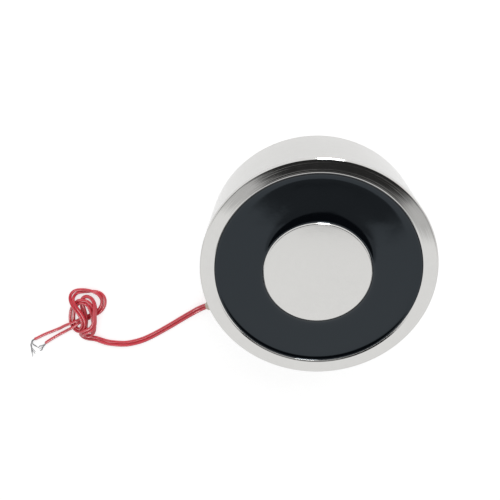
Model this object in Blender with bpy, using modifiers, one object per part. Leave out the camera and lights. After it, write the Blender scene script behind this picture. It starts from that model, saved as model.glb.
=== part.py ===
"""Holding electromagnet: a turned steel pot with a pole core, a potted coil and two knotted leads.

Metres, +Z up. The magnet stands on its back face at z = 0 with its pole face up, and the
origin is the centre of the back face. The wire hole points along +X turned by EXIT_ANGLE.
"""

import math

import bmesh
import bpy
from mathutils import Vector

# The steel cup
CUP_DIAMETER = 0.100
CUP_HEIGHT = 0.040
CUP_WALL = 0.0063
CUP_FLOOR = 0.008
RIM_OUTER_CHAMFER = 0.0006
RIM_INNER_CHAMFER = 0.0005
BACK_CHAMFER = 0.0010

# The pole core, with the spigot that fills the bore of the cup's floor
CORE_DIAMETER = 0.046
CORE_CHAMFER = 0.0005
SPIGOT_DIAMETER = 0.024
SPIGOT_CHAMFER = 0.0004

# The tapped mounting hole, at the tap's own drill size
TAP_DRILL_DIAMETER = 0.0085
TAP_DEPTH = 0.015
TAP_MOUTH_CHAMFER = 0.0009
DRILL_POINT_ANGLE = 118

# The wire hole in the cup's wall, and the room that it leaves round the sleeve
EXIT_ANGLE = 42.4
EXIT_HOLE_CLEARANCE = 0.0004
EXIT_HOLE_SIDES = 32

# The gap between pieces that touch on the real magnet
SEAT_GAP = 0.0003

# The coil: bobbin, winding, tape and potting
BOBBIN_TUBE_WALL = 0.0012
BOBBIN_FLANGE = 0.0012
BOBBIN_EDGE_CLEARANCE = 0.0014
JOINT_COVER = 0.000475
TAPE_THICKNESS = 0.0004
TAPE_LOWER_MARGIN = 0.0034
RESIN_COVER = 0.0036
RESIN_RECESS = 0.0018
MENISCUS_WIDTH = 0.0024
MENISCUS_RISE = 0.0012
MENISCUS_STEEPNESS = 2.2

# The winding's ends and the soldered joints
MAGNET_WIRE_DIAMETER = 0.0006
SPLICE_DIAMETER = 0.0014
SPLICE_LENGTH = 0.0053
SPLICE_SLEEVE_WALL = 0.0003
SPLICE_SLEEVE_OVERLAP = 0.0042
TAIL_REACH = 0.0050
TAIL_BEND = 0.0020
START_TAIL_END = 0.0008

# The leads
LEAD_DIAMETER = 0.0016
PAIR_GAP = 0.0002
LEAD_INNER_BEND = 0.0032
LEAD_INNER_REACH = 0.0105
SLEEVE_WALL = 0.0004
SLEEVE_SHOWN = 0.0145
TINNED_DIAMETER = 0.0008
KNOT_HEIGHT = 0.0068
KNOT_ROUNDING = 0.0016

# Segments round a turned piece, a meniscus and a bend, and the spacing of a wire's points
TURN_STEPS = 84
MENISCUS_STEPS = 4
BEND_STEPS = 5
LEAD_STEP = 0.0036
WIRE_STEP = 0.0012
SHARP_ANGLE = 35

# The two leads side by side, from the mouth of the wire hole to the knot. Places are measured
# from that mouth: distance out, distance to the left, height, and roll of the pair in degrees.
# The droop's heights are from the hole's axis, the run's from where the pair lies on the table.
PAIR_DROOP = (
    (0.0030, 0.0000, -0.0001, 0),
    (0.0060, 0.0000, -0.0010, 0),
    (0.0090, 0.0001, -0.0029, 0),
    (0.0120, 0.0002, -0.0054, 0),
    (0.0150, 0.0003, -0.0075, 4),
    (0.0180, 0.0004, -0.0089, 8),
)
PAIR_RUN = (
    (0.0214, 0.0005, 0.0004, 6),
    (0.0265, 0.0005, 0.0001, 0),
    (0.0317, 0.0004, 0.0001, 0),
    (0.0370, 0.0004, 0.0001, 0),
    (0.0424, 0.0003, 0.0001, 0),
    (0.0478, 0.0001, 0.0001, 0),
    (0.0529, -0.0003, 0.0001, 8),
    (0.0578, -0.0011, 0.0001, 20),
    (0.0623, -0.0025, 0.0001, 34),
    (0.0664, -0.0043, 0.0001, 42),
    (0.0704, -0.0071, 0.0001, 40),
    (0.0737, -0.0100, 0.0002, 32),
    (0.0757, -0.0127, 0.0004, 25),
    (0.0768, -0.0148, 0.0009, 20),
    (0.0772, -0.0158, 0.0010, 18),
)

# The knot's outline on the table, in the same directions, anticlockwise from above
KNOT_OUTLINE = (
    (0.0596, -0.0413),
    (0.0568, -0.0380),
    (0.0559, -0.0340),
    (0.0572, -0.0298),
    (0.0617, -0.0268),
    (0.0664, -0.0252),
    (0.0712, -0.0216),
    (0.0752, -0.0174),
    (0.0774, -0.0163),
    (0.0794, -0.0156),
    (0.0814, -0.0168),
    (0.0826, -0.0204),
    (0.0842, -0.0250),
    (0.0838, -0.0297),
    (0.0799, -0.0353),
    (0.0740, -0.0416),
    (0.0705, -0.0436),
    (0.0663, -0.0443),
    (0.0626, -0.0434),
)
# The two ends past the knot, each on its own: distance out, distance to the left, and height
# above where it lies on the table
TAIL_A_ROUTE = (
    (0.0839, -0.0309, 0.0020),
    (0.0868, -0.0310, 0.0009),
    (0.0897, -0.0310, 0.0003),
    (0.0936, -0.0316, 0.0001),
    (0.0974, -0.0323, 0.0001),
    (0.1013, -0.0329, 0.0001),
    (0.1045, -0.0332, 0.0001),
    (0.1064, -0.0335, 0.0001),
)
TAIL_B_ROUTE = (
    (0.0849, -0.0273, 0.0006),
    (0.0881, -0.0279, 0.0002),
    (0.0923, -0.0282, 0.0001),
    (0.0966, -0.0284, 0.0001),
    (0.1009, -0.0285, 0.0001),
    (0.1031, -0.0284, 0.0001),
)
TINNED_A_ROUTE = (
    (0.1068, -0.0335, 0.0005),
    (0.1089, -0.0330, 0.0003),
    (0.1109, -0.0317, 0.0001),
    (0.1125, -0.0298, 0.0001),
    (0.1140, -0.0277, 0.0001),
    (0.1155, -0.0256, 0.0001),
)
TINNED_B_ROUTE = (
    (0.1035, -0.0283, 0.0005),
    (0.1053, -0.0274, 0.0003),
    (0.1069, -0.0266, 0.0001),
    (0.1089, -0.0257, 0.0001),
)

# Worked out from the sizes above
CUP_RADIUS = CUP_DIAMETER / 2
SLOT_RADIUS = CUP_RADIUS - CUP_WALL
CORE_RADIUS = CORE_DIAMETER / 2
SPIGOT_RADIUS = SPIGOT_DIAMETER / 2
RESIN_LEVEL = CUP_HEIGHT - RESIN_RECESS
BOBBIN_INNER = CORE_RADIUS + SEAT_GAP
BOBBIN_TUBE_OUTER = BOBBIN_INNER + BOBBIN_TUBE_WALL
FLANGE_RADIUS = SLOT_RADIUS - BOBBIN_EDGE_CLEARANCE
BOBBIN_BOTTOM = CUP_FLOOR + SEAT_GAP
BOBBIN_TOP = RESIN_LEVEL - RESIN_COVER - SEAT_GAP
WINDOW_BOTTOM = BOBBIN_BOTTOM + BOBBIN_FLANGE
WINDOW_TOP = BOBBIN_TOP - BOBBIN_FLANGE
LEAD_SPACING = LEAD_DIAMETER + PAIR_GAP
SPLICE_SLEEVE_DIAMETER = LEAD_DIAMETER + 2 * SEAT_GAP + 2 * SPLICE_SLEEVE_WALL
# The resin outside the tape is thick enough to cover a joint's sleeve on both sides, and the
# winding takes the rest of the slot
RESIN_OUTER = SLOT_RADIUS - SEAT_GAP
RESIN_INNER = RESIN_OUTER - SPLICE_SLEEVE_DIAMETER - 2 * (SEAT_GAP + JOINT_COVER)
TAPE_OUTER = RESIN_INNER - SEAT_GAP
TAPE_INNER = TAPE_OUTER - TAPE_THICKNESS
WINDING_OUTER = TAPE_INNER - SEAT_GAP
WINDING_INNER = BOBBIN_TUBE_OUTER + SEAT_GAP
SLEEVE_DIAMETER = LEAD_SPACING + LEAD_DIAMETER + 2 * SEAT_GAP + 2 * SLEEVE_WALL
EXIT_HOLE_DIAMETER = SLEEVE_DIAMETER + 2 * EXIT_HOLE_CLEARANCE
# The joints lie on the bottom flange, in the middle of the resin round the tape, and the
# wire hole is level with them
JOINT_RADIUS = (RESIN_INNER + RESIN_OUTER) / 2
EXIT_HEIGHT = WINDOW_BOTTOM + SEAT_GAP + SPLICE_SLEEVE_DIAMETER / 2


def clear_scene():
    """Remove every object, so that the script builds into an empty scene."""
    for obj in list(bpy.data.objects):
        bpy.data.objects.remove(obj, do_unlink=True)


def new_collection(name):
    """Make a collection in the scene."""
    collection = bpy.data.collections.new(name)
    bpy.context.scene.collection.children.link(collection)
    return collection


def new_material(name, colour, roughness, metallic=0.0):
    """Make a plain Principled material."""
    material = bpy.data.materials.new(name)
    material.use_nodes = True
    shader = material.node_tree.nodes["Principled BSDF"]
    shader.inputs["Base Color"].default_value = (*colour, 1.0)
    shader.inputs["Roughness"].default_value = roughness
    shader.inputs["Metallic"].default_value = metallic
    return material


clear_scene()
PARTS = new_collection("holding_electromagnet")
CUTTERS = new_collection("cutters")
NICKEL = new_material("nickel_plating", (0.76, 0.75, 0.73), 0.22, 1.0)
EPOXY = new_material("black_epoxy", (0.012, 0.014, 0.018), 0.18)
NYLON = new_material("bobbin_nylon", (0.75, 0.73, 0.66), 0.5)
COPPER = new_material("enamelled_copper", (0.72, 0.32, 0.14), 0.3, 1.0)
TAPE = new_material("polyester_tape", (0.80, 0.62, 0.10), 0.4)
SOLDER = new_material("tinned_solder", (0.68, 0.69, 0.70), 0.3, 1.0)
FIBRE = new_material("cream_sleeving", (0.78, 0.68, 0.47), 0.7)
RED_PVC = new_material("red_pvc", (0.60, 0.03, 0.05), 0.3)


def add_piece(name, data, material, collection=None):
    """Link an object for one sub-part."""
    obj = bpy.data.objects.new(name, data)
    (collection or PARTS).objects.link(obj)
    data.materials.append(material)
    return obj


def mark_as_cutter(obj):
    """Leave a tool out of the model: it only cuts."""
    obj.hide_render = True
    obj.display_type = "WIRE"
    return obj


def turned(name, profile, material, closed=True):
    """Turn a profile of (radius, height) points about Z; it runs down its outer side."""
    mesh = bpy.data.meshes.new(name)
    count = len(profile)
    edges = [(i, i + 1) for i in range(count - 1)]
    if closed:
        edges.append((count - 1, 0))
    mesh.from_pydata([(radius, 0.0, height) for radius, height in profile], edges, [])
    obj = add_piece(name, mesh, material)
    screw = obj.modifiers.new("turn", "SCREW")
    screw.axis = "Z"
    screw.angle = math.tau
    screw.steps = TURN_STEPS
    screw.render_steps = TURN_STEPS
    screw.use_merge_vertices = True
    screw.merge_threshold = 0.00001
    screw.use_normal_calculate = False
    screw.use_smooth_shade = False
    return obj


def cut(obj, cutter, name):
    """Subtract a cutter from a piece."""
    modifier = obj.modifiers.new(name, "BOOLEAN")
    modifier.operation = "DIFFERENCE"
    modifier.solver = "EXACT"
    modifier.object = cutter


def smooth_line(points, step):
    """Read points about a step apart from the smooth curve through the route's own points.

    Between two route points the curve is a cubic whose slope at each is the chord of its
    neighbours; any values past x, y and z are carried along the same way.
    """
    ends = [tuple(2 * a - b for a, b in zip(points[0], points[1]))]
    ends += [tuple(point) for point in points]
    ends += [tuple(2 * a - b for a, b in zip(points[-1], points[-2]))]
    line = []
    for i in range(1, len(ends) - 2):
        before, here, there, after = ends[i - 1 : i + 3]
        span = (Vector(there[:3]) - Vector(here[:3])).length
        pieces = max(1, round(span / step))
        for k in range(pieces):
            t = k / pieces
            line.append(
                tuple(
                    0.5
                    * (
                        2 * b
                        + (c - a) * t
                        + (2 * a - 5 * b + 4 * c - d) * t**2
                        + (3 * b - a - 3 * c + d) * t**3
                    )
                    for a, b, c, d in zip(before, here, there, after)
                )
            )
    line.append(tuple(points[-1]))
    return line


def curve_object(name, points, diameter, material, caps, collection=None):
    """Make a round wire or tube of that diameter along points, as a poly curve."""
    curve = bpy.data.curves.new(name, "CURVE")
    curve.dimensions = "3D"
    curve.bevel_depth = diameter / 2
    curve.bevel_resolution = 2
    curve.use_fill_caps = caps
    spline = curve.splines.new("POLY")
    spline.points.add(len(points) - 1)
    for target, point in zip(spline.points, points):
        target.co = (*point[:3], 1.0)
    return add_piece(name, curve, material, collection)


def as_mesh(obj):
    """Replace a curve object by its mesh, with its caps welded on."""
    graph = bpy.context.evaluated_depsgraph_get()
    mesh = bpy.data.meshes.new_from_object(obj.evaluated_get(graph))
    work = bmesh.new()
    work.from_mesh(mesh)
    bmesh.ops.remove_doubles(work, verts=work.verts, dist=0.000002)
    work.to_mesh(mesh)
    work.free()
    name = obj.name
    collection = obj.users_collection[0]
    solid = bpy.data.objects.new(f"{name}_solid", mesh)
    collection.objects.link(solid)
    solid.matrix_world = obj.matrix_world.copy()
    bpy.data.objects.remove(obj, do_unlink=True)
    solid.name = name
    return solid


def wire(name, points, diameter, material):
    """Make one solid wire along points."""
    return curve_object(name, points, diameter, material, caps=True)


def wire_cutter(name, points, diameter):
    """Make the channel that a wire or tube takes up in what is cast round it."""
    tool = curve_object(name, points, diameter, EPOXY, caps=True, collection=CUTTERS)
    return mark_as_cutter(as_mesh(tool))


def sleeve(name, points, diameter, wall, material):
    """Make one open-ended sleeve of that outer diameter and wall along points."""
    tube = as_mesh(curve_object(name, points, diameter, material, caps=False))
    shell = tube.modifiers.new("wall", "SOLIDIFY")
    shell.thickness = wall
    shell.offset = -1.0
    shell.use_even_offset = True
    return tube


def meniscus(wall_radius, inwards):
    """Points of the resin's surface where it climbs a wall, from the wall to the flat."""
    points = []
    for i in range(MENISCUS_STEPS + 1):
        share = i / MENISCUS_STEPS
        height = RESIN_LEVEL + MENISCUS_RISE * (1 - share) ** MENISCUS_STEEPNESS
        points.append((wall_radius - inwards * MENISCUS_WIDTH * share, height))
    return points


def out_from_hole(forward, left, height):
    """Turn a place measured from the mouth of the wire hole into x, y and z."""
    angle = math.radians(EXIT_ANGLE)
    along = CUP_RADIUS + forward
    x = along * math.cos(angle) - left * math.sin(angle)
    y = along * math.sin(angle) + left * math.cos(angle)
    return (x, y, height)


def side_by_side(route, side):
    """Place one lead of the pair: half the spacing to the left or right of the pair's line.

    The route's fourth value rolls the pair about its line, so that one lead lies higher.
    """
    lead = []
    for i, point in enumerate(route):
        before = Vector(route[max(i - 1, 0)][:3])
        after = Vector(route[min(i + 1, len(route) - 1)][:3])
        along = (after - before).normalized()
        left = Vector((0.0, 0.0, 1.0)).cross(along).normalized()
        over = along.cross(left)
        roll = math.radians(point[3])
        offset = left * math.cos(roll) + over * math.sin(roll)
        lead.append(tuple(Vector(point[:3]) + offset * side * LEAD_SPACING / 2))
    return lead


def joint_circle(start, end, side):
    """Points on the circle of the joints, at those distances along it from the wire hole."""
    count = max(2, math.ceil(abs(end - start) / WIRE_STEP))
    points = []
    for i in range(count + 1):
        turn = side * (start + (end - start) * i / count) / JOINT_RADIUS
        angle = math.radians(EXIT_ANGLE) + turn
        x = JOINT_RADIUS * math.cos(angle)
        y = JOINT_RADIUS * math.sin(angle)
        points.append((x, y, EXIT_HEIGHT))
    return points


def build_cup():
    """The turned cup: wall, floor with the core's bore, chamfered rim, and the wire hole."""
    bore = SPIGOT_RADIUS + SEAT_GAP
    profile = [
        (CUP_RADIUS - RIM_OUTER_CHAMFER, CUP_HEIGHT),
        (CUP_RADIUS, CUP_HEIGHT - RIM_OUTER_CHAMFER),
        (CUP_RADIUS, BACK_CHAMFER),
        (CUP_RADIUS - BACK_CHAMFER, 0.0),
        (bore, 0.0),
        (bore, CUP_FLOOR),
        (SLOT_RADIUS, CUP_FLOOR),
        (SLOT_RADIUS, CUP_HEIGHT - RIM_INNER_CHAMFER),
        (SLOT_RADIUS + RIM_INNER_CHAMFER, CUP_HEIGHT),
    ]
    cup = turned("housing_cup", profile, NICKEL)
    length = 3 * CUP_WALL
    bpy.ops.mesh.primitive_cylinder_add(
        vertices=EXIT_HOLE_SIDES, radius=EXIT_HOLE_DIAMETER / 2, depth=length
    )
    drill = bpy.context.object
    drill.name = "wire_hole_drill"
    for collection in list(drill.users_collection):
        collection.objects.unlink(drill)
    CUTTERS.objects.link(drill)
    drill.rotation_euler = (0.0, math.pi / 2, math.radians(EXIT_ANGLE))
    drill.location = out_from_hole(-CUP_WALL / 2, 0.0, EXIT_HEIGHT)
    cut(cup, mark_as_cutter(drill), "wire_hole")


def build_core():
    """The turned core: pole face, shoulder on the cup's floor, spigot and tapped hole."""
    tap = TAP_DRILL_DIAMETER / 2
    point_depth = tap / math.tan(math.radians(DRILL_POINT_ANGLE / 2))
    shoulder = CUP_FLOOR + SEAT_GAP
    profile = [
        (0.0, CUP_HEIGHT),
        (CORE_RADIUS - CORE_CHAMFER, CUP_HEIGHT),
        (CORE_RADIUS, CUP_HEIGHT - CORE_CHAMFER),
        (CORE_RADIUS, shoulder),
        (SPIGOT_RADIUS, shoulder),
        (SPIGOT_RADIUS, SPIGOT_CHAMFER),
        (SPIGOT_RADIUS - SPIGOT_CHAMFER, 0.0),
        (tap + TAP_MOUTH_CHAMFER, 0.0),
        (tap, TAP_MOUTH_CHAMFER),
        (tap, TAP_DEPTH),
        (0.0, TAP_DEPTH + point_depth),
    ]
    turned("pole_core", profile, NICKEL, closed=False)


def build_bobbin():
    """The moulded bobbin: a tube with two flanges, the top one slotted for the start wire."""
    profile = [
        (FLANGE_RADIUS, BOBBIN_TOP),
        (FLANGE_RADIUS, WINDOW_TOP),
        (BOBBIN_TUBE_OUTER, WINDOW_TOP),
        (BOBBIN_TUBE_OUTER, WINDOW_BOTTOM),
        (FLANGE_RADIUS, WINDOW_BOTTOM),
        (FLANGE_RADIUS, BOBBIN_BOTTOM),
        (BOBBIN_INNER, BOBBIN_BOTTOM),
        (BOBBIN_INNER, BOBBIN_TOP),
    ]
    bobbin = turned("coil_bobbin", profile, NYLON)
    slot_width = MAGNET_WIRE_DIAMETER + 2 * SEAT_GAP
    slot_inner = BOBBIN_TUBE_OUTER + SEAT_GAP
    slot_outer = SLOT_RADIUS
    bpy.ops.mesh.primitive_cube_add(size=1.0)
    mill = bpy.context.object
    mill.name = "wire_slot_mill"
    for collection in list(mill.users_collection):
        collection.objects.unlink(mill)
    CUTTERS.objects.link(mill)
    angle = start_slot_angle()
    middle = (slot_inner + slot_outer) / 2
    mill.scale = (slot_outer - slot_inner, slot_width, 3 * BOBBIN_FLANGE)
    mill.rotation_euler = (0.0, 0.0, angle)
    mill.location = (
        middle * math.cos(angle),
        middle * math.sin(angle),
        BOBBIN_TOP - BOBBIN_FLANGE / 2,
    )
    cut(bobbin, mark_as_cutter(mill), "start_wire_slot")


def ring(name, inner, outer, bottom, top, material):
    """Make a plain ring of rectangular section."""
    profile = [(outer, top), (outer, bottom), (inner, bottom), (inner, top)]
    return turned(name, profile, material)


def build_winding():
    """The coil's turns as one ring, and the tape that closes them."""
    bottom = WINDOW_BOTTOM + SEAT_GAP
    top = WINDOW_TOP - SEAT_GAP
    ring("coil_winding", WINDING_INNER, WINDING_OUTER, bottom, top, COPPER)
    ring("winding_tape", TAPE_INNER, TAPE_OUTER, bottom + TAPE_LOWER_MARGIN, top, TAPE)


def held_end_of_lead():
    """Where a lead meets the circle of the joints: distances of its bend from the cup's axis.

    A bend of LEAD_INNER_BEND lies between the straight line through the wire hole, half the
    pair's spacing off its axis, and the circle, and touches both.
    """
    across = LEAD_SPACING / 2 + LEAD_INNER_BEND
    along = math.sqrt((JOINT_RADIUS + LEAD_INNER_BEND) ** 2 - across**2)
    turn = math.atan2(across, along)
    return along, across, turn


def lead_inner_points(side):
    """The line of a lead's held end, from the mouth of the wire hole to its joint."""
    along, across, turn = held_end_of_lead()
    half = LEAD_SPACING / 2
    mouth = CUP_RADIUS - SEAT_GAP / 2
    local = [(mouth, half), ((mouth + along) / 2, half)]
    for i in range(BEND_STEPS + 1):
        swing = (math.pi / 2 - turn) * i / BEND_STEPS
        x = along - LEAD_INNER_BEND * math.sin(swing)
        y = across - LEAD_INNER_BEND * math.cos(swing)
        local.append((x, y))
    points = []
    for x, y in local:
        points.append(out_from_hole(x - CUP_RADIUS, side * y, EXIT_HEIGHT))
    start = turn * JOINT_RADIUS
    points += joint_circle(start, start + LEAD_INNER_REACH, side)[1:]
    return points


def joint_stations():
    """Distances along the circle of the joints: ends of the lead, the solder and its sleeve."""
    lead_end = held_end_of_lead()[2] * JOINT_RADIUS + LEAD_INNER_REACH
    solder_start = lead_end + SEAT_GAP
    solder_end = solder_start + SPLICE_LENGTH
    sleeve_start = solder_start - SPLICE_SLEEVE_OVERLAP
    sleeve_end = solder_end + SPLICE_SLEEVE_OVERLAP
    return solder_start, solder_end, sleeve_start, sleeve_end


def start_slot_angle():
    """The angle about Z of the bobbin's wire slot, past the end of the start wire's sleeve."""
    sleeve_end = joint_stations()[3]
    return math.radians(EXIT_ANGLE) - (sleeve_end + TAIL_REACH) / JOINT_RADIUS


def finish_tail_points():
    """The line of the winding's outer end: along the circle, then in to the last layer."""
    solder_end, sleeve_end = joint_stations()[1], joint_stations()[3]
    points = joint_circle(solder_end + SEAT_GAP, sleeve_end + SEAT_GAP, 1)
    seat = WINDING_OUTER + SEAT_GAP + MAGNET_WIRE_DIAMETER / 2
    for i in range(1, BEND_STEPS + 1):
        share = i / BEND_STEPS
        ease = share * share * (3 - 2 * share)
        radius = JOINT_RADIUS + (seat - JOINT_RADIUS) * ease
        distance = sleeve_end + SEAT_GAP + TAIL_REACH * share
        angle = math.radians(EXIT_ANGLE) + distance / JOINT_RADIUS
        points.append((radius * math.cos(angle), radius * math.sin(angle), EXIT_HEIGHT))
    return points


def start_tail_points():
    """The line of the winding's inner end: along the circle, up to the slot and in over the top."""
    solder_end, sleeve_end = joint_stations()[1], joint_stations()[3]
    points = joint_circle(solder_end + SEAT_GAP, sleeve_end + TAIL_REACH - TAIL_BEND, -1)
    slot = start_slot_angle()
    slot_height = BOBBIN_TOP - BOBBIN_FLANGE / 2
    for i in range(1, BEND_STEPS + 1):
        swing = math.pi / 2 * i / BEND_STEPS
        angle = slot + TAIL_BEND * (1 - math.sin(swing)) / JOINT_RADIUS
        height = EXIT_HEIGHT + TAIL_BEND * (1 - math.cos(swing))
        points.append((JOINT_RADIUS * math.cos(angle), JOINT_RADIUS * math.sin(angle), height))
    for i in range(BEND_STEPS + 1):
        swing = math.pi / 2 * i / BEND_STEPS
        radius = JOINT_RADIUS - TAIL_BEND * (1 - math.cos(swing))
        height = slot_height - TAIL_BEND * (1 - math.sin(swing))
        points.append((radius * math.cos(slot), radius * math.sin(slot), height))
    inner = WINDING_INNER + START_TAIL_END
    points.append((inner * math.cos(slot), inner * math.sin(slot), slot_height))
    return points


def build_joints():
    """The held ends of the leads, the soldered joints with their sleeves, and the wire's ends.

    Returns the line and outer diameter of each, which the resin is cast round.
    """
    solder_start, solder_end, sleeve_start, sleeve_end = joint_stations()
    embedded = []
    for lead, end, side in (("a", "finish", 1), ("b", "start", -1)):
        held = lead_inner_points(side)
        wire(f"lead_{lead}_inner", held, LEAD_DIAMETER, RED_PVC)
        solder = joint_circle(solder_start, solder_end, side)
        wire(f"splice_{end}", solder, SPLICE_DIAMETER, SOLDER)
        cover = joint_circle(sleeve_start, sleeve_end, side)
        name = f"splice_sleeve_{end}"
        sleeve(name, cover, SPLICE_SLEEVE_DIAMETER, SPLICE_SLEEVE_WALL, FIBRE)
        embedded.append((f"lead_{lead}", held, LEAD_DIAMETER))
        embedded.append((f"joint_{end}", cover, SPLICE_SLEEVE_DIAMETER))
    for end, tail in (("finish", finish_tail_points()), ("start", start_tail_points())):
        wire(f"winding_tail_{end}", tail, MAGNET_WIRE_DIAMETER, COPPER)
        embedded.append((f"tail_{end}", tail, MAGNET_WIRE_DIAMETER))
    return embedded


def build_resin(embedded):
    """The potting resin: a skirt round the coil and a cover over it, cast round the joints."""
    lower_edge = FLANGE_RADIUS + SEAT_GAP
    profile = meniscus(RESIN_OUTER, 1)[:1]
    profile += [
        (RESIN_OUTER, BOBBIN_BOTTOM),
        (lower_edge, BOBBIN_BOTTOM),
        (lower_edge, WINDOW_BOTTOM + SEAT_GAP),
        (RESIN_INNER, WINDOW_BOTTOM + SEAT_GAP),
        (RESIN_INNER, WINDOW_TOP - SEAT_GAP),
        (lower_edge, WINDOW_TOP - SEAT_GAP),
        (lower_edge, BOBBIN_TOP + SEAT_GAP),
        (BOBBIN_INNER, BOBBIN_TOP + SEAT_GAP),
    ]
    profile += meniscus(BOBBIN_INNER, -1)
    profile += reversed(meniscus(RESIN_OUTER, 1)[1:])
    resin = turned("potting_resin", profile, EPOXY)
    for name, line, diameter in embedded:
        channel = wire_cutter(f"{name}_channel", line, diameter + 2 * SEAT_GAP)
        cut(resin, channel, f"{name}_channel")


def droop_points():
    """The pair's line where it droops from the wire hole, with its roll."""
    points = []
    for forward, left, height, roll in PAIR_DROOP:
        points.append((*out_from_hole(forward, left, EXIT_HEIGHT + height), roll))
    return points


def pair_route():
    """The pair's line from the mouth of the wire hole to the knot, with its roll."""
    route = [(*out_from_hole(SEAT_GAP / 2, 0.0, EXIT_HEIGHT), 0.0)]
    route += droop_points()
    for forward, left, lift, roll in PAIR_RUN:
        lower_lead = LEAD_SPACING / 2 * math.sin(math.radians(roll))
        height = LEAD_DIAMETER / 2 + lower_lead + lift
        route.append((*out_from_hole(forward, left, height), roll))
    return smooth_line(route, LEAD_STEP)


def first_stretch(line, length):
    """The part of a line up to that distance along it."""
    kept = [line[0]]
    remaining = length
    for before, after in zip(line, line[1:]):
        span = (Vector(after[:3]) - Vector(before[:3])).length
        share = min(1.0, remaining / span)
        kept.append(tuple(a + (b - a) * share for a, b in zip(before, after)))
        remaining -= span
        if remaining <= 0:
            break
    return kept


def build_exit_sleeve():
    """The soft sleeve on both leads: from the slot's wall, through the hole, and down a little."""
    inside = out_from_hole(SEAT_GAP - CUP_WALL, 0.0, EXIT_HEIGHT)
    mouth = out_from_hole(0.0, 0.0, EXIT_HEIGHT)
    route = [(*inside, 0.0), (*mouth, 0.0)] + droop_points()
    line = first_stretch(smooth_line(route, LEAD_DIAMETER), CUP_WALL - SEAT_GAP + SLEEVE_SHOWN)
    sleeve("exit_sleeve", line, SLEEVE_DIAMETER, SLEEVE_WALL, FIBRE)


def above_table(route, diameter):
    """Places of a wire's line, from its route with heights above where it lies on the table."""
    radius = diameter / 2
    return [out_from_hole(forward, left, radius + lift) for forward, left, lift in route]


def build_leads():
    """The free leads up to the knot, and their separate tails with tinned ends."""
    pair = pair_route()
    wire("lead_a", side_by_side(pair, 1), LEAD_DIAMETER, RED_PVC)
    wire("lead_b", side_by_side(pair, -1), LEAD_DIAMETER, RED_PVC)
    ends = (("a", TAIL_A_ROUTE, TINNED_A_ROUTE), ("b", TAIL_B_ROUTE, TINNED_B_ROUTE))
    for lead, tail_route, tinned_route in ends:
        tail = smooth_line(above_table(tail_route, LEAD_DIAMETER), LEAD_STEP)
        wire(f"lead_{lead}_tail", tail, LEAD_DIAMETER, RED_PVC)
        tinned = smooth_line(above_table(tinned_route, TINNED_DIAMETER), WIRE_STEP)
        wire(f"tinned_end_{lead}", tinned, TINNED_DIAMETER, SOLDER)


def build_knot():
    """The outer shape of the knot, flat on the table."""
    outline = [out_from_hole(forward, left, 0.0) for forward, left in KNOT_OUTLINE]
    around = smooth_line([*outline, outline[0]], LEAD_STEP)[:-1]
    curve = bpy.data.curves.new("lead_knot", "CURVE")
    curve.dimensions = "2D"
    curve.fill_mode = "BOTH"
    curve.extrude = KNOT_HEIGHT / 2
    spline = curve.splines.new("POLY")
    spline.points.add(len(around) - 1)
    for target, point in zip(spline.points, around):
        target.co = (point[0], point[1], 0.0, 1.0)
    spline.use_cyclic_u = True
    slab = add_piece("lead_knot", curve, RED_PVC)
    slab.location = (0.0, 0.0, KNOT_HEIGHT / 2)
    bpy.context.view_layer.update()
    knot = as_mesh(slab)
    rounding = knot.modifiers.new("rounding", "BEVEL")
    rounding.width = KNOT_ROUNDING
    rounding.segments = 2
    rounding.limit_method = "ANGLE"
    rounding.angle_limit = math.radians(60)


def shade_round_pieces():
    """Shade the meshes smooth, with their turned corners left sharp."""
    for obj in PARTS.objects:
        if obj.type == "MESH":
            obj.data.shade_smooth()
            obj.data.set_sharp_from_angle(angle=math.radians(SHARP_ANGLE))


build_cup()
build_core()
build_bobbin()
build_winding()
build_resin(build_joints())
build_exit_sleeve()
build_leads()
build_knot()
shade_round_pieces()
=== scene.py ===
"""The looks of a holding electromagnet: turned steel pot, pole core, potted coil and two leads.

Metres, +Z up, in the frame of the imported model: the magnet stands on its back face at z = 0.
"""

import math

import bpy
import numpy as np
from mathutils import Matrix, Vector


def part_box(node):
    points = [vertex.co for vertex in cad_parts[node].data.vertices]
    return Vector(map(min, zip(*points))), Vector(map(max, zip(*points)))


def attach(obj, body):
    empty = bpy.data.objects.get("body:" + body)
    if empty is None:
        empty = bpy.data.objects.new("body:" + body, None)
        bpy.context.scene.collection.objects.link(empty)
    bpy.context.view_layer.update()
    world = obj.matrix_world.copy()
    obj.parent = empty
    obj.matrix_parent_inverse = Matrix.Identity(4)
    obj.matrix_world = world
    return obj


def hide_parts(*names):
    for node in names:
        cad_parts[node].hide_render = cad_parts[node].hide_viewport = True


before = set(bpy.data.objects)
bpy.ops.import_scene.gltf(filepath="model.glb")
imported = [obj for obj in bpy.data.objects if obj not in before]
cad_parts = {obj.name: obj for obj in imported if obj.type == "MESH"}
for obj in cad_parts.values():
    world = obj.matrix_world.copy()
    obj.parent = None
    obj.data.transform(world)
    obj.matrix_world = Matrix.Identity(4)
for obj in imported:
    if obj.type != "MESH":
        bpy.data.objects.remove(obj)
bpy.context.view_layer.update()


# The cup
# One piece of free-cutting steel, turned in a lathe and plated with bright nickel. Its rim is
# the outer pole, faced level with the core, and the wire hole is drilled through its wall.
CUP_LOW, CUP_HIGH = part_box("housing_cup")
CUP_RADIUS = (CUP_HIGH[0] - CUP_LOW[0]) / 2
CUP_HEIGHT = CUP_HIGH[2]
CUP_WALL = 0.0063
CUP_FLOOR = 0.008
RIM_OUTER_CHAMFER = 0.0006
RIM_INNER_CHAMFER = 0.0005
BACK_CHAMFER = 0.0010
CUP_BORE_RADIUS = 0.01205
EDGE_ROUND = 0.00012
TURN_STEPS = 360
DRILL_STEPS = 72
SHARP_ANGLE = math.radians(35)
EXIT_ANGLE = math.radians(42.4)
EXIT_HEIGHT = 0.0112
EXIT_HOLE_RADIUS = 0.0028
EXIT_HOLE_EDGE = 0.0003
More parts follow.
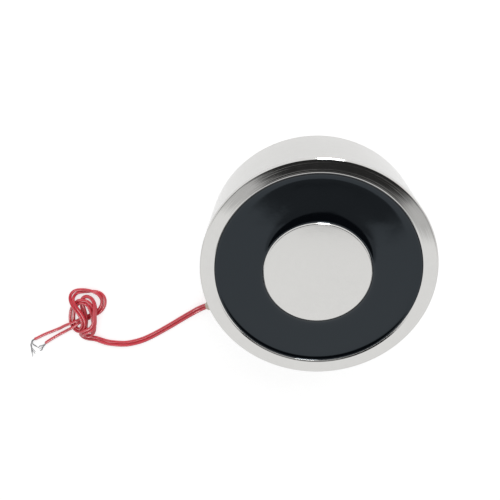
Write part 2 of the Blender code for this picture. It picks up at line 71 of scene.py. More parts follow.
SLOT_RADIUS = CUP_RADIUS - CUP_WALL
NICKEL_COLOUR = (0.665, 0.660, 0.645)
LATHE_FEED = 0.00045


def rows_to_object(name, rows, closed=False):
    """Join rows of points into one skin, and return it as an object.

    rows[i, j] is point j of row i. A row joins up with itself and with the next row, and each
    four neighbours make a face. A closed skin joins its last row to its first; an open one
    gets a fan at each end round the middle of that row. Seen along the rows, each runs
    clockwise, so that the faces point outwards.
    """
    count, around = rows.shape[:2]
    grid = np.arange(count * around).reshape(count, around)
    here = grid if closed else grid[:-1]
    there = np.roll(grid, -1, axis=0) if closed else grid[1:]
    corners = [here, there, np.roll(there, -1, axis=1), np.roll(here, -1, axis=1)]
    faces = np.stack(corners, axis=-1).reshape(-1, 4).tolist()
    points = rows.reshape(-1, 3)
    if not closed:
        first = np.full(around, len(points))
        faces += np.stack([first, grid[0], np.roll(grid[0], -1)], axis=-1).tolist()
        faces += np.stack([first + 1, np.roll(grid[-1], -1), grid[-1]], axis=-1).tolist()
        points = np.vstack([points, rows[0].mean(axis=0), rows[-1].mean(axis=0)])
    mesh = bpy.data.meshes.new(name)
    mesh.from_pydata(points.tolist(), [], faces)
    mesh.shade_smooth()
    mesh.set_sharp_from_angle(angle=SHARP_ANGLE)
    obj = bpy.data.objects.new(name, mesh)
    bpy.context.scene.collection.objects.link(obj)
    return obj


def turned_rows(profile, steps):
    """Carry a profile round Z: a point (r, z) becomes (r cos a, r sin a, z) at every angle a.

    A radius may also be an array over the angles, as in a thread.
    """
    angles = np.linspace(0, 2 * np.pi, steps, endpoint=False)
    radii = np.stack([np.broadcast_to(radius, steps) for radius, _ in profile])
    heights = np.stack([np.broadcast_to(height, steps) for _, height in profile])
    return np.stack([radii * np.cos(angles), radii * np.sin(angles), heights], axis=-1)


def eased(corners, reach=EDGE_ROUND, steps=3):
    """Round each corner of a closed profile.

    The corner becomes the quadratic curve between the points at reach on its two sides, with
    the corner as its control point. A point just past each end keeps the flats' shading flat.
    """
    corners = np.array(corners)
    back = np.roll(corners, 1, axis=0) - corners
    ahead = np.roll(corners, -1, axis=0) - corners
    back /= np.linalg.norm(back, axis=1, keepdims=True)
    ahead /= np.linalg.norm(ahead, axis=1, keepdims=True)
    t = np.linspace(0, 1, steps + 1)[:, None, None]
    start, end = corners + reach * back, corners + reach * ahead
    curve = (1 - t) ** 2 * start + 2 * t * (1 - t) * corners + t**2 * end
    past = 1.3 * reach
    rounded = np.concatenate([[corners + past * back], curve, [corners + past * ahead]])
    return rounded.transpose(1, 0, 2).reshape(-1, 2)


def add_node(tree, kind, inputs=None, **settings):
    """Add a shader node, set its settings, and give its inputs values or links."""
    node = tree.nodes.new(kind)
    for key, value in settings.items():
        setattr(node, key, value)
    for key, value in (inputs or {}).items():
        if isinstance(value, bpy.types.NodeSocket):
            tree.links.new(value, node.inputs[key])
        else:
            node.inputs[key].default_value = value
    return node


def new_material(name, colour, roughness, metallic=0.0, **more):
    """Make a Principled material. Returns it, its node tree and its shader."""
    material = bpy.data.materials.new(name)
    material.use_nodes = True
    tree = material.node_tree
    shader = tree.nodes["Principled BSDF"]
    shader.inputs["Base Color"].default_value = (*colour, 1.0)
    shader.inputs["Roughness"].default_value = roughness
    shader.inputs["Metallic"].default_value = metallic
    for key, value in more.items():
        shader.inputs[key.replace("_", " ").title().replace("Ior", "IOR")].default_value = value
    return material, tree, shader


def build_handled_surface():
    """The node group of a surface that has been handled: soft patches in tone and gloss.

    Two noises of different size are averaged to a value round zero. Tone darkens or lightens
    the colour by it, and Gloss adds it to the roughness.
    """
    group = bpy.data.node_groups.new("handled_surface", "ShaderNodeTree")
    face = group.interface
    face.new_socket("Colour", in_out="INPUT", socket_type="NodeSocketColor")
    for name in ("Roughness", "Patch Size", "Tone", "Gloss"):
        face.new_socket(name, in_out="INPUT", socket_type="NodeSocketFloat")
    face.new_socket("Colour", in_out="OUTPUT", socket_type="NodeSocketColor")
    face.new_socket("Roughness", in_out="OUTPUT", socket_type="NodeSocketFloat")
    given = group.nodes.new("NodeGroupInput").outputs
    result = group.nodes.new("NodeGroupOutput")
    place = add_node(group, "ShaderNodeTexCoord").outputs["Object"]
    size = add_node(group, "ShaderNodeMath", {0: 1.0, 1: given["Patch Size"]}, operation="DIVIDE")
    finer = add_node(group, "ShaderNodeMath", {0: size.outputs[0], 1: 5.3}, operation="MULTIPLY")
    noises = []
    for scale in (size.outputs[0], finer.outputs[0]):
        noise = add_node(group, "ShaderNodeTexNoise", {"Vector": place, "Scale": scale, "Detail": 3.0})
        noises.append(noise.outputs["Fac"])
    both = add_node(group, "ShaderNodeMath", {0: noises[0], 1: noises[1]}, operation="ADD")
    patch = add_node(group, "ShaderNodeMath", {0: both.outputs[0], 1: 1.0}, operation="SUBTRACT")
    tone = add_node(
        group, "ShaderNodeMath", {0: patch.outputs[0], 1: given["Tone"], 2: 1.0},
        operation="MULTIPLY_ADD",
    )
    colour = add_node(
        group, "ShaderNodeVectorMath", {0: given["Colour"], "Scale": tone.outputs[0]},
        operation="SCALE",
    )
    gloss = add_node(
        group, "ShaderNodeMath", {0: patch.outputs[0], 1: given["Gloss"], 2: given["Roughness"]},
        operation="MULTIPLY_ADD",
    )
    group.links.new(colour.outputs[0], result.inputs["Colour"])
    group.links.new(gloss.outputs[0], result.inputs["Roughness"])
    return group


HANDLED_SURFACE = build_handled_surface()


def handle(tree, shader, colour, roughness, patch_size, tone, gloss):
    """Feed a shader's colour and roughness through the handled surface."""
    group = add_node(tree, "ShaderNodeGroup", node_tree=HANDLED_SURFACE)
    group.inputs["Colour"].default_value = (*colour, 1.0)
    for key, value in (
        ("Roughness", roughness), ("Patch Size", patch_size), ("Tone", tone), ("Gloss", gloss)
    ):
        group.inputs[key].default_value = value
    tree.links.new(group.outputs["Colour"], shader.inputs["Base Color"])
    tree.links.new(group.outputs["Roughness"], shader.inputs["Roughness"])


def make_nickel(name, roughness, mark_height):
    """Bright nickel over lathe marks: rings on the flats and lines round the walls.

    The marks are a noise over radius + height, so that they follow the tool on both. A finer
    and a coarser one are added.
    """
    material, tree, shader = new_material(name, NICKEL_COLOUR, roughness, metallic=1.0)
    handle(tree, shader, NICKEL_COLOUR, roughness, 0.014, 0.05, 0.08)
    place = add_node(tree, "ShaderNodeTexCoord").outputs["Object"]
    axes = add_node(tree, "ShaderNodeSeparateXYZ", {0: place}).outputs
    flat = add_node(tree, "ShaderNodeCombineXYZ", {"X": axes["X"], "Y": axes["Y"]}).outputs[0]
    radius = add_node(tree, "ShaderNodeVectorMath", {0: flat}, operation="LENGTH").outputs["Value"]
    travel = add_node(tree, "ShaderNodeMath", {0: radius, 1: axes["Z"]}, operation="ADD").outputs[0]
    marks = []
    for feed, detail in ((LATHE_FEED, 2.0), (4 * LATHE_FEED, 1.0)):
        turns = add_node(tree, "ShaderNodeMath", {0: travel, 1: 1 / feed}, operation="MULTIPLY")
        noise = add_node(
            tree, "ShaderNodeTexNoise", {"W": turns.outputs[0], "Scale": 1.0, "Detail": detail},
            noise_dimensions="1D",
        )
        marks.append(noise.outputs["Fac"])
    both = add_node(tree, "ShaderNodeMath", {0: marks[0], 1: marks[1]}, operation="ADD").outputs[0]
    bump = add_node(
        tree, "ShaderNodeBump", {"Height": both, "Strength": 1.0, "Distance": mark_height}
    )
    tree.links.new(bump.outputs["Normal"], shader.inputs["Normal"])
    return material


def cut_away(piece, cutter):
    """Subtract a closed cutter from a piece and keep the result as the piece's own mesh."""
    modifier = piece.modifiers.new("cut", "BOOLEAN")
    modifier.operation = "DIFFERENCE"
    modifier.solver = "EXACT"
    modifier.object = cutter
    graph = bpy.context.evaluated_depsgraph_get()
    mesh = bpy.data.meshes.new_from_object(piece.evaluated_get(graph))
    piece.modifiers.clear()
    piece.data = mesh
    mesh.set_sharp_from_angle(angle=SHARP_ANGLE)
    bpy.data.objects.remove(cutter)


cup_corners = [
    (CUP_RADIUS - RIM_OUTER_CHAMFER, CUP_HEIGHT),
    (CUP_RADIUS, CUP_HEIGHT - RIM_OUTER_CHAMFER),
    (CUP_RADIUS, BACK_CHAMFER),
    (CUP_RADIUS - BACK_CHAMFER, 0.0),
    (CUP_BORE_RADIUS, 0.0),
    (CUP_BORE_RADIUS, CUP_FLOOR),
    (SLOT_RADIUS, CUP_FLOOR),
    (SLOT_RADIUS, CUP_HEIGHT - RIM_INNER_CHAMFER),
    (SLOT_RADIUS + RIM_INNER_CHAMFER, CUP_HEIGHT),
]
cup = rows_to_object("cup", turned_rows(eased(cup_corners), TURN_STEPS), closed=True)
drill_profile = [
    (EXIT_HOLE_RADIUS + CUP_WALL, CUP_RADIUS + CUP_WALL),
    (EXIT_HOLE_RADIUS + EXIT_HOLE_EDGE, CUP_RADIUS),
    (EXIT_HOLE_RADIUS, CUP_RADIUS - EXIT_HOLE_EDGE),
    (EXIT_HOLE_RADIUS, SLOT_RADIUS - CUP_WALL),
]
drill = rows_to_object("drill", turned_rows(drill_profile, DRILL_STEPS))
lay_down = Matrix.Rotation(EXIT_ANGLE, 4, "Z") @ Matrix.Rotation(math.pi / 2, 4, "Y")
drill.data.transform(Matrix.Translation((0.0, 0.0, EXIT_HEIGHT)) @ lay_down)
cut_away(cup, drill)
cup.data.materials.append(make_nickel("bright_nickel", roughness=0.06, mark_height=0.00001))
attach(cup, "root")
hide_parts("housing_cup")


# The pole core
# A turned steel slug with the magnet's middle pole on top and a spigot that fills the bore of
# the cup's floor. The hole in its back is tapped M10 for the screw that holds the magnet up.
CORE_LOW, CORE_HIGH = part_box("pole_core")
CORE_RADIUS = (CORE_HIGH[0] - CORE_LOW[0]) / 2
CORE_CHAMFER = 0.0005
SPIGOT_RADIUS = 0.012
SPIGOT_CHAMFER = 0.0004
THREAD_PITCH = 0.0015
THREAD_MINOR_RADIUS = 0.00425
THREAD_MAJOR_RADIUS = 0.0050
THREAD_LENGTH = 0.0135
TAP_DEPTH = 0.015
TAP_MOUTH_CHAMFER = 0.0009
DRILL_HALF_ANGLE = math.radians(59)
DRILL_TIP_HEIGHT = TAP_DEPTH + THREAD_MINOR_RADIUS / math.tan(DRILL_HALF_ANGLE)
CORE_STEPS = 240
ROWS_PER_TURN = 12
GROOVE_TOP = 1.75
GROOVE_SLOPE = 4.6
AXIS_RADIUS = 0.00001


def thread_rows():
    """Rows of the tapped hole, from its mouth up: a 60 degree groove that climbs as it turns.

    At height z and angle a the groove's phase is z / pitch - a / 360. The depth is the groove
    depth times a trapezium of that phase, it fades to nothing in the last turn, and the
    chamfer's cone takes over where it is wider.
    """
    angles = np.linspace(0, 2 * np.pi, CORE_STEPS, endpoint=False)
    heights = np.linspace(0.0, TAP_DEPTH, round(TAP_DEPTH / THREAD_PITCH * ROWS_PER_TURN))
    depth = THREAD_MAJOR_RADIUS - THREAD_MINOR_RADIUS
    cone = THREAD_MINOR_RADIUS + TAP_MOUTH_CHAMFER - heights
    rows = []
    for height, mouth in zip(heights, cone):
        phase = (height / THREAD_PITCH - angles / (2 * np.pi)) % 1.0
        groove = np.clip(GROOVE_TOP - GROOVE_SLOPE * np.abs(phase - 0.5), 0.0, 1.0)
        fade = np.clip((THREAD_LENGTH - height) / THREAD_PITCH, 0.0, 1.0)
        rows.append((np.maximum(THREAD_MINOR_RADIUS + depth * groove * fade, mouth), height))
    return rows


core_corners = [
    (0.0, CUP_HEIGHT),
    (CORE_RADIUS - CORE_CHAMFER, CUP_HEIGHT),
    (CORE_RADIUS, CUP_HEIGHT - CORE_CHAMFER),
    (CORE_RADIUS, CUP_FLOOR),
    (SPIGOT_RADIUS, CUP_FLOOR),
    (SPIGOT_RADIUS, SPIGOT_CHAMFER),
    (SPIGOT_RADIUS - SPIGOT_CHAMFER, 0.0),
    (0.0, 0.0),
]
points_per_corner = len(eased(core_corners)) // len(core_corners)
core_profile = list(eased(core_corners)[points_per_corner:-points_per_corner])
core_profile += thread_rows()
core_profile.append((AXIS_RADIUS, DRILL_TIP_HEIGHT))
core = rows_to_object("core", turned_rows(core_profile, CORE_STEPS))
core.data.materials.append(make_nickel("ground_nickel", roughness=0.13, mark_height=0.000002))
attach(core, "root")
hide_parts("pole_core")


# The coil inside
# A moulded bobbin wound with enamelled copper and closed with yellow tape. The winding's two
# ends are soldered to the leads and sleeved. All of it is potted, and none of it shows.
COPPER_COLOUR = (0.72, 0.30, 0.12)
COPPER_ROUGHNESS = 0.28
TURN_HEIGHT = 0.0006


def dress_node(name, material):
    """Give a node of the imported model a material."""
    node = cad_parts[name]
    if not node.material_slots:
        node.data.materials.append(material)
    for slot in node.material_slots:
        slot.material = material


def make_plain(name, colour, roughness, metallic=0.0, patch_size=0.006, tone=0.12, gloss=0.1):
    """A material of one substance with soft patches in tone and gloss."""
    material, tree, shader = new_material(name, colour, roughness, metallic)
    handle(tree, shader, colour, roughness, patch_size, tone, gloss)
    return material


def make_winding():
    """Enamelled copper wound in even turns: a round ridge for each turn over the height."""
    material, tree, shader = new_material(
        "wound_copper", COPPER_COLOUR, COPPER_ROUGHNESS, metallic=1.0
    )
    handle(tree, shader, COPPER_COLOUR, COPPER_ROUGHNESS, 0.004, 0.25, 0.1)
    place = add_node(tree, "ShaderNodeTexCoord").outputs["Object"]
    height = add_node(tree, "ShaderNodeSeparateXYZ", {0: place}).outputs["Z"]
    phase = add_node(
        tree, "ShaderNodeMath", {0: height, 1: math.pi / TURN_HEIGHT}, operation="MULTIPLY"
    ).outputs[0]
    wave = add_node(tree, "ShaderNodeMath", {0: phase}, operation="SINE").outputs[0]
    ridge = add_node(tree, "ShaderNodeMath", {0: wave}, operation="ABSOLUTE").outputs[0]
    bump = add_node(
        tree, "ShaderNodeBump", {"Height": ridge, "Strength": 1.0, "Distance": TURN_HEIGHT / 2}
    )
    tree.links.new(bump.outputs["Normal"], shader.inputs["Normal"])
    return material


dress_node("coil_winding", make_winding())
dress_node("coil_bobbin", make_plain("natural_nylon", (0.75, 0.72, 0.63), 0.45))
dress_node("winding_tape", make_plain("yellow_tape", (0.80, 0.60, 0.08), 0.30))
copper_wire = make_plain("enamelled_wire", (0.70, 0.28, 0.11), 0.25, metallic=1.0)
solder = make_plain("solder", (0.66, 0.67, 0.68), 0.30, metallic=1.0, patch_size=0.001)
inner_sleeving = make_plain("inner_sleeving", (0.74, 0.63, 0.42), 0.65)
inner_lead = make_plain("inner_lead", (0.58, 0.02, 0.04), 0.35)
for joint, lead in (("start", "b"), ("finish", "a")):
    dress_node(f"winding_tail_{joint}", copper_wire)
    dress_node(f"splice_{joint}", solder)
    dress_node(f"splice_sleeve_{joint}", inner_sleeving)
    dress_node(f"lead_{lead}_inner", inner_lead)


# The potting
# Black epoxy, cast over the coil to just below the pole faces. It sets glossy, sinks a little
# unevenly, and climbs both steel walls in a narrow meniscus.
RESIN_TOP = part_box("potting_resin")[1][2]
MENISCUS_RISE = 0.0012
# Rise and length of each part of the meniscus, at the core and at the cup
CORE_MENISCUS = ((0.00080, 0.0017), (0.00045, 0.0006))
CUP_MENISCUS = ((0.0012, 0.0008),)
RESIN_LEVEL = RESIN_TOP - MENISCUS_RISE
RESIN_WALL_GAP = 0.00002
RESIN_STEPS = 360
COIL_LOW, COIL_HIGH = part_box("coil_bobbin")
COIL_RADIUS = COIL_HIGH[0] + 0.0001
COIL_CLEARANCE = 0.0003
TAPE_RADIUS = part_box("winding_tape")[1][0]
FLANGE = 0.0012
SURFACE_POINTS = 32
WALL_CROWDING = 1.9
RESIN_COLOUR = (0.0016, 0.0022, 0.0034)
RESIN_ROUGHNESS = 0.08
RIPPLE = 0.00003
# Length, heading and shift of each slow wave in the resin's surface
WAVES = ((0.031, 0.4, 0.9), (0.019, 1.9, 2.2), (0.012, 2.7, 4.1))


def surface_profile():
    """The resin's surface from the core to the cup, which it climbs as a wetting liquid does.

    At a distance d from a wall each part of its meniscus adds rise exp(-d / length). The
    points lie closer together near both walls.
    """
    inner = CORE_RADIUS + RESIN_WALL_GAP
    outer = SLOT_RADIUS - RESIN_WALL_GAP
    middle = (inner + outer) / 2
    share = np.linspace(0, 1, SURFACE_POINTS) ** WALL_CROWDING
    radii = np.concatenate([inner + share * (middle - inner), outer - share[-2::-1] * (outer - middle)])
    heights = np.full(len(radii), RESIN_LEVEL)
    for wall, parts in ((inner, CORE_MENISCUS), (outer, CUP_MENISCUS)):
        for rise, length in parts:
            heights += rise * np.exp(-np.abs(radii - wall) / length)
    return radii, heights


def settle_ripple(rows):
    """Lower and raise the surface by a few slow waves that die out towards the walls.

    The waves are sines of x and y with unlike lengths and directions, and their sum is scaled
    by the squared sine of the way from wall to wall.
    """
    x, y = rows[..., 0], rows[..., 1]
    radius = np.hypot(x, y)
    across = np.clip((radius - CORE_RADIUS) / (SLOT_RADIUS - CORE_RADIUS), 0, 1)
    waves = np.zeros_like(x)
    for length, heading, shift in WAVES:
        along = x * math.cos(heading) + y * math.sin(heading)
        waves += np.sin(2 * np.pi * along / length + shift) * length / WAVES[0][0]
    rows[..., 2] += RIPPLE * waves * np.sin(np.pi * across) ** 2
    return rows


def make_epoxy():
    """Glossy black epoxy with a soft skin of fine waves."""
    material, tree, shader = new_material(
        "black_epoxy", RESIN_COLOUR, RESIN_ROUGHNESS, ior=1.51,
        specular_tint=(0.76, 0.89, 1.0, 1.0),
    )
    handle(tree, shader, RESIN_COLOUR, RESIN_ROUGHNESS, 0.011, 0.35, 0.08)
    place = add_node(tree, "ShaderNodeTexCoord").outputs["Object"]
    noise = add_node(tree, "ShaderNodeTexNoise", {"Vector": place, "Scale": 240.0, "Detail": 2.0})
    bump = add_node(
        tree, "ShaderNodeBump",
        {"Height": noise.outputs["Fac"], "Strength": 0.25, "Distance": 0.00005},
    )
    tree.links.new(bump.outputs["Normal"], shader.inputs["Normal"])
    return material


surface_radii, surface_heights = surface_profile()
top = turned_rows(list(zip(surface_radii, surface_heights)), RESIN_STEPS)
hidden = [
    (SLOT_RADIUS - RESIN_WALL_GAP, COIL_LOW[2]),
    (COIL_RADIUS + COIL_CLEARANCE, COIL_LOW[2]),
    (COIL_RADIUS + COIL_CLEARANCE, COIL_LOW[2] + FLANGE + COIL_CLEARANCE),
    (TAPE_RADIUS + COIL_CLEARANCE, COIL_LOW[2] + FLANGE + COIL_CLEARANCE),
    (TAPE_RADIUS + COIL_CLEARANCE, COIL_HIGH[2] - FLANGE - COIL_CLEARANCE),
    (COIL_RADIUS + COIL_CLEARANCE, COIL_HIGH[2] - FLANGE - COIL_CLEARANCE),
    (COIL_RADIUS + COIL_CLEARANCE, COIL_HIGH[2] + COIL_CLEARANCE),
    (CORE_RADIUS + RESIN_WALL_GAP, COIL_HIGH[2] + COIL_CLEARANCE),
]
resin_rows = np.concatenate([settle_ripple(top), turned_rows(hidden, RESIN_STEPS)])
resin = rows_to_object("potting", resin_rows, closed=True)
resin.data.materials.append(make_epoxy())
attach(resin, "root")
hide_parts("potting_resin")


# The sleeve at the wire hole
# A short piece of varnished fibre sleeving over both leads. It keeps the edge of the hole off
# them, comes out of the hole level, and droops with them to the table.
SLEEVE_RADIUS = 0.0024
SLEEVE_WALL = 0.0004
SLEEVE_SHOWN = 0.0145
SLEEVE_SIDES = 48
SLEEVE_STEP = 0.00025
SLEEVE_FRAY = 0.00012
# Waves round the tube, height and shift of each part of the uneven cut
FRAY_WAVES = ((3, 1.0, 0.7), (7, 0.6, 0.0), (13, 0.5, 0.0))
CURVE_READINGS = 24
SLEEVE_COLOUR = (0.88, 0.80, 0.66)
BRAID_PITCH = 0.0011
BRAID_STRANDS = 12
# Distance out from the hole's mouth, distance to the left, height from the hole's axis, roll
PAIR_DROOP = (
    (0.0030, 0.0000, -0.0001, 0),
    (0.0060, 0.0000, -0.0010, 0),
    (0.0090, 0.0001, -0.0029, 0),
    (0.0120, 0.0002, -0.0054, 0),
    (0.0150, 0.0003, -0.0075, 4),
    (0.0180, 0.0004, -0.0089, 8),
)


def out_from_hole(route):
    """Turn places measured from the mouth of the wire hole into x, y and z.

    The first value runs out along the hole's direction, the second to its left, and the third
    up. Any further value, such as the roll, is kept.
    """
    route = np.array(route, dtype=float)
    along = CUP_RADIUS + route[:, 0]
    x = along * math.cos(EXIT_ANGLE) - route[:, 1] * math.sin(EXIT_ANGLE)
    y = along * math.sin(EXIT_ANGLE) + route[:, 1] * math.cos(EXIT_ANGLE)
    return np.column_stack([x, y, route[:, 2:]])


def smooth_line(points, step):
    """Read points a step apart from the smooth curve through a route's own points.

    Between two points b and c the curve is the cubic whose slope at each is half the chord
    of its neighbours: (2b + (c - a)t + (2a - 5b + 4c - d)t^2 + (3b - a - 3c + d)t^3) / 2.
    """
    points = np.asarray(points, dtype=float)
    ends = np.vstack([2 * points[0] - points[1], points, 2 * points[-1] - points[-2]])
    a, b, c, d = ends[:-3], ends[1:-2], ends[2:-1], ends[3:]
    t = np.linspace(0, 1, CURVE_READINGS, endpoint=False)[:, None, None]
    cubic = 2 * b + (c - a) * t + (2 * a - 5 * b + 4 * c - d) * t**2
    cubic = (cubic + (3 * b - a - 3 * c + d) * t**3) / 2
    dense = np.vstack([cubic.transpose(1, 0, 2).reshape(-1, points.shape[1]), points[-1]])
    return evenly_spaced(dense, step)


def evenly_spaced(line, step):
    """Read a line again at even distances, as near to step as its length allows."""
    spans = np.linalg.norm(np.diff(line[:, :3], axis=0), axis=1)
    travelled = np.concatenate([[0.0], np.cumsum(spans)])
    at = np.linspace(0, travelled[-1], max(2, round(travelled[-1] / step)) + 1)
    return np.column_stack([np.interp(at, travelled, values) for values in line.T])


def directions(line):
    """At each point of a line: its direction, the level direction to its left, and upwards."""
    along = np.gradient(line[:, :3], axis=0)
    along /= np.linalg.norm(along, axis=1, keepdims=True)
    left = np.cross((0.0, 0.0, 1.0), along)
    left /= np.linalg.norm(left, axis=1, keepdims=True)
    return along, left, np.cross(along, left)


def ring_rows(line, radius, sides):
    """Rows of a round tube: line + radius (left cos b - up sin b) for angles b round it.

    The radius may be an array over the line's points.
    """
    _, left, up = directions(line)
    angles = np.linspace(0, 2 * np.pi, sides, endpoint=False)[None, :, None]
    radius = np.broadcast_to(radius, len(line))[:, None, None]
    swing = left[:, None] * np.cos(angles) - up[:, None] * np.sin(angles)
    return line[:, None, :3] + radius * swing


def add_wrap_map(piece, line, around):
    """Give a tube a UV map: u is the distance along it in metres, v the share of the way round."""
    spans = np.linalg.norm(np.diff(line[:, :3], axis=0), axis=1)
    u = np.concatenate([[0.0], np.cumsum(spans)])
    mesh = piece.data
    count = len(line)
    corner = np.empty(len(mesh.loops), dtype=np.int32)
    mesh.loops.foreach_get("vertex_index", corner)
    row = np.minimum(corner // around, count - 1)
    side = corner % around
    starts = np.empty(len(mesh.polygons), dtype=np.int32)
    totals = np.empty(len(mesh.polygons), dtype=np.int32)
    mesh.polygons.foreach_get("loop_start", starts)
    mesh.polygons.foreach_get("loop_total", totals)
    face_of_corner = np.repeat(np.arange(len(starts)), totals)
    widest = np.zeros(len(starts), dtype=np.int32)
    np.maximum.at(widest, face_of_corner, side)
    past_seam = (side == 0) & (widest[face_of_corner] == around - 1)
    v = (side + around * past_seam) / around
    wrap = mesh.uv_layers.new(name="wrap")
    wrap.data.foreach_set("uv", np.column_stack([u[row], v]).ravel())


def make_sleeving():
    """Braided fibre under varnish: two families of yarns cross, and their ridges show.

    A family's ridge is the sine of 2 pi (u / pitch +- strands v), and the higher one of the
    two shows. The colour is darkened in the dips between them as painted shade.
    """
    material, tree, shader = new_material("fibre_sleeving", SLEEVE_COLOUR, 0.5)
    wrap = add_node(tree, "ShaderNodeUVMap", uv_map="wrap").outputs["UV"]
    axes = add_node(tree, "ShaderNodeSeparateXYZ", {0: wrap}).outputs
    along = add_node(
        tree, "ShaderNodeMath", {0: axes["X"], 1: 2 * math.pi / BRAID_PITCH}, operation="MULTIPLY"
    ).outputs[0]
    round_it = add_node(
        tree, "ShaderNodeMath", {0: axes["Y"], 1: 2 * math.pi * BRAID_STRANDS},
        operation="MULTIPLY",
    ).outputs[0]
    ridges = []
    for operation in ("ADD", "SUBTRACT"):
        phase = add_node(tree, "ShaderNodeMath", {0: along, 1: round_it}, operation=operation)
        ridges.append(
            add_node(tree, "ShaderNodeMath", {0: phase.outputs[0]}, operation="SINE").outputs[0]
        )
    weave = add_node(
        tree, "ShaderNodeMath", {0: ridges[0], 1: ridges[1]}, operation="MAXIMUM"
    ).outputs[0]
    # Painted shade: the colour darkens in the dips between the yarns
    painted_dip_shade = add_node(
        tree, "ShaderNodeMapRange", {"Value": weave, "From Min": -1.0, "To Min": 0.72}
    ).outputs["Result"]
    colour = add_node(
        tree, "ShaderNodeVectorMath", {0: SLEEVE_COLOUR, "Scale": painted_dip_shade}, operation="SCALE"
    )
    tree.links.new(colour.outputs[0], shader.inputs["Base Color"])
    bump = add_node(tree, "ShaderNodeBump", {"Height": weave, "Strength": 0.8, "Distance": 0.00008})
    tree.links.new(bump.outputs["Normal"], shader.inputs["Normal"])
    return material


droop = np.array(PAIR_DROOP) + (0.0, 0.0, EXIT_HEIGHT, 0.0)
sleeve_start = (0.0003 - CUP_WALL, 0.0, EXIT_HEIGHT, 0.0)
sleeve_route = out_from_hole([sleeve_start, (0.0, 0.0, EXIT_HEIGHT, 0.0), *droop])
sleeve_line = smooth_line(sleeve_route, SLEEVE_STEP)
sleeve_points = round((CUP_WALL + SLEEVE_SHOWN) / SLEEVE_STEP)
sleeve_line = sleeve_line[:sleeve_points]
outside = ring_rows(sleeve_line, SLEEVE_RADIUS, SLEEVE_SIDES)
inside = ring_rows(sleeve_line, SLEEVE_RADIUS - SLEEVE_WALL, SLEEVE_SIDES)
# The cut end is a little uneven: its rim runs out and back by a few waves round the tube
around_end = np.linspace(0, 2 * np.pi, SLEEVE_SIDES, endpoint=False)
uneven = sum(height * np.sin(waves * around_end + shift) for waves, height, shift in FRAY_WAVES)
end_direction = directions(sleeve_line)[0][-1]
for rim in (outside, inside):
    rim[-1] += SLEEVE_FRAY * uneven[:, None] * end_direction
exit_sleeve = rows_to_object("exit_sleeving", np.concatenate([outside, inside[::-1]]), closed=True)
add_wrap_map(exit_sleeve, np.vstack([sleeve_line, sleeve_line[::-1]]), SLEEVE_SIDES)
exit_sleeve.data.materials.append(make_sleeving())
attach(exit_sleeve, "root")
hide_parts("exit_sleeve")


# The leads
# Two stranded hook-up wires in red PVC, 1.6 mm over the insulation. They leave the sleeve side
# by side, lie on the table, and are tied in one loose knot that stops them from pulling apart.
LEAD_DIAMETER = 0.0016
LEAD_RADIUS = LEAD_DIAMETER / 2
LEAD_SPACING = 0.0016
LEAD_SIDES = 24
LEAD_STEP = 0.0004
KNOT_STEP = 0.0010
KNOT_START = 0.080
KNOT_TAIL_A = 0.017
KNOT_TAIL_B = 0.013
SETTLE_ROUNDS = 300
FADE_ROUNDS = 0.75 * SETTLE_ROUNDS
EVENING = 0.5
STIFFNESS = 0.12
HOLD = 0.05
LAST_HOLD = 0.1
PUSH = 1.8
SAME_STRETCH = 2.2 * LEAD_DIAMETER
LEAD_COLOUR = (0.72, 0.040, 0.066)
LEAD_ROUGHNESS = 0.3
# How fast the extruder's lines change along the lead and round it
LINE_SCALES = (120.0, 14.0, 1.0)
# Distance out, distance to the left, height above where the pair lies on the table, roll
PAIR_RUN = (
    (0.0214, 0.0005, 0.0004, 6),
    (0.0265, 0.0005, 0.0001, 0),
    (0.0317, 0.0004, 0.0001, 0),
    (0.0370, 0.0004, 0.0001, 0),
    (0.0424, 0.0003, 0.0001, 0),
    (0.0478, 0.0001, 0.0001, 0),
    (0.0529, -0.0003, 0.0001, 8),
    (0.0578, -0.0011, 0.0001, 20),
    (0.0623, -0.0025, 0.0001, 34),
    (0.0664, -0.0043, 0.0001, 42),
    (0.0704, -0.0071, 0.0001, 40),
    (0.0737, -0.0100, 0.0002, 32),
    (0.0757, -0.0127, 0.0004, 25),
    (0.0768, -0.0148, 0.0009, 20),
    (0.0772, -0.0158, 0.0010, 18),
)
